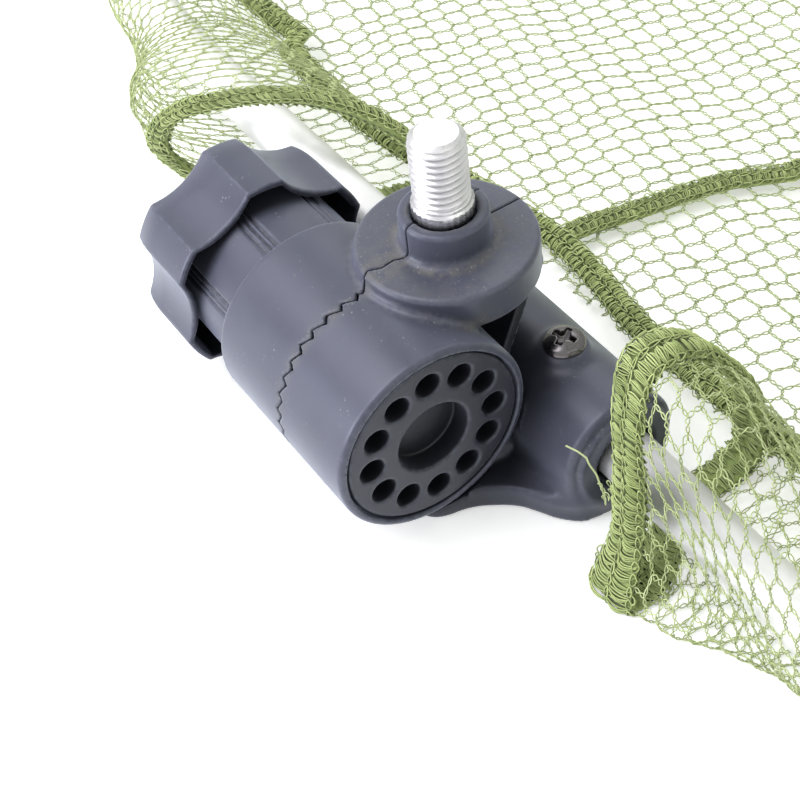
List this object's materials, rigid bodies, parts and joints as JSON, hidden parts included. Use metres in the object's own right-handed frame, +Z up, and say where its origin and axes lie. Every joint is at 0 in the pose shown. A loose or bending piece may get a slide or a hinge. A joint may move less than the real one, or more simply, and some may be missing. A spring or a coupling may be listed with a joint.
{
  "type": "keep net",
  "caption": "Keep net: rectangular tube frames in a knitted mesh tunnel closed at one end, with a clamped tilting head and threaded stud on the mouth frame.",
  "frame": {"origin": "on the floor, at the middle of the flat underside of the block that joins the mouth frame's tube", "axes": "+Y along the net from its mouth to its closed end, +Z up from the floor"},
  "size_m": [0.3628, 0.7177, 0.3028],
  "materials": {
    "plastic": "satin moulded nylon, scuffed, with sand grains",
    "plug": "satin moulded nylon",
    "dark_screw": "blackened, worn shiny",
    "zinc": "zinc plated",
    "tube": "bare drawn tube, half gloss",
    "stud": "bare turned, bright crests",
    "netting": "knitted multi-filament yarn",
    "binding": "dense knitted band"
  },
  "bodies": {
    "mouth": {"ring_block": "plastic", "tube_screw_right": "dark_screw", "tube_screw_left": "dark_screw", "mouth_frame_tube": "tube", "mouth_hem": "netting", "hem_binding_right": "binding", "hem_binding_left": "binding", "netting_1": "netting"},
    "head": {"head_shell_plug_side": "plastic", "head_shell_knob_side": "plastic", "threaded_stud": "stud", "end_plug": "plug", "clamp_bolt": "zinc"},
    "washer": {"thrust_washer": "zinc"},
    "knob": {"clamp_knob": "plastic", "knob_nut": "zinc"},
    "frame_2": {"frame_2_tube": "tube", "frame_2_joiner": "tube", "frame_2_hem": "netting", "netting_2": "netting"},
    "frame_3": {"frame_3_tube": "tube", "frame_3_joiner": "tube", "frame_3_hem": "netting", "netting_3": "netting"},
    "end_frame": {"frame_4_tube": "tube", "frame_4_joiner": "tube", "frame_4_hem": "netting", "netting_end": "netting"}
  },
  "joints": [
    {"name": "head_tilt", "type": "hinge", "parent": "mouth", "child": "head", "pos_m": [0, -0.0272, 0.0214], "axis": [1, 0, 0], "range_deg": [-9, 70]},
    {"name": "knob_lift", "type": "slide", "parent": "head", "child": "washer", "axis": [-1, 0, 0], "range_m": [0, 0.00187]},
    {"name": "knob_turn", "type": "hinge", "parent": "washer", "child": "knob", "pos_m": [-0.04, -0.0272, 0.0214], "axis": [-1, 0, 0], "range_deg": [0, 540]},
    {"name": "frame_2_gather", "type": "slide", "parent": "mouth", "child": "frame_2", "axis": [0, -1, 0], "range_m": [0, 0.185], "deforming": ["netting_1"]},
    {"name": "frame_3_gather", "type": "slide", "parent": "frame_2", "child": "frame_3", "axis": [0, -1, 0], "range_m": [0, 0.19], "deforming": ["netting_2"]},
    {"name": "end_frame_gather", "type": "slide", "parent": "frame_3", "child": "end_frame", "axis": [0, -1, 0], "range_m": [0, 0.19], "deforming": ["netting_3"]}
  ],
  "couplings": [
    {"joint": "knob_lift", "follows": "knob_turn", "m_per_rad": 0.00019894}
  ]
}
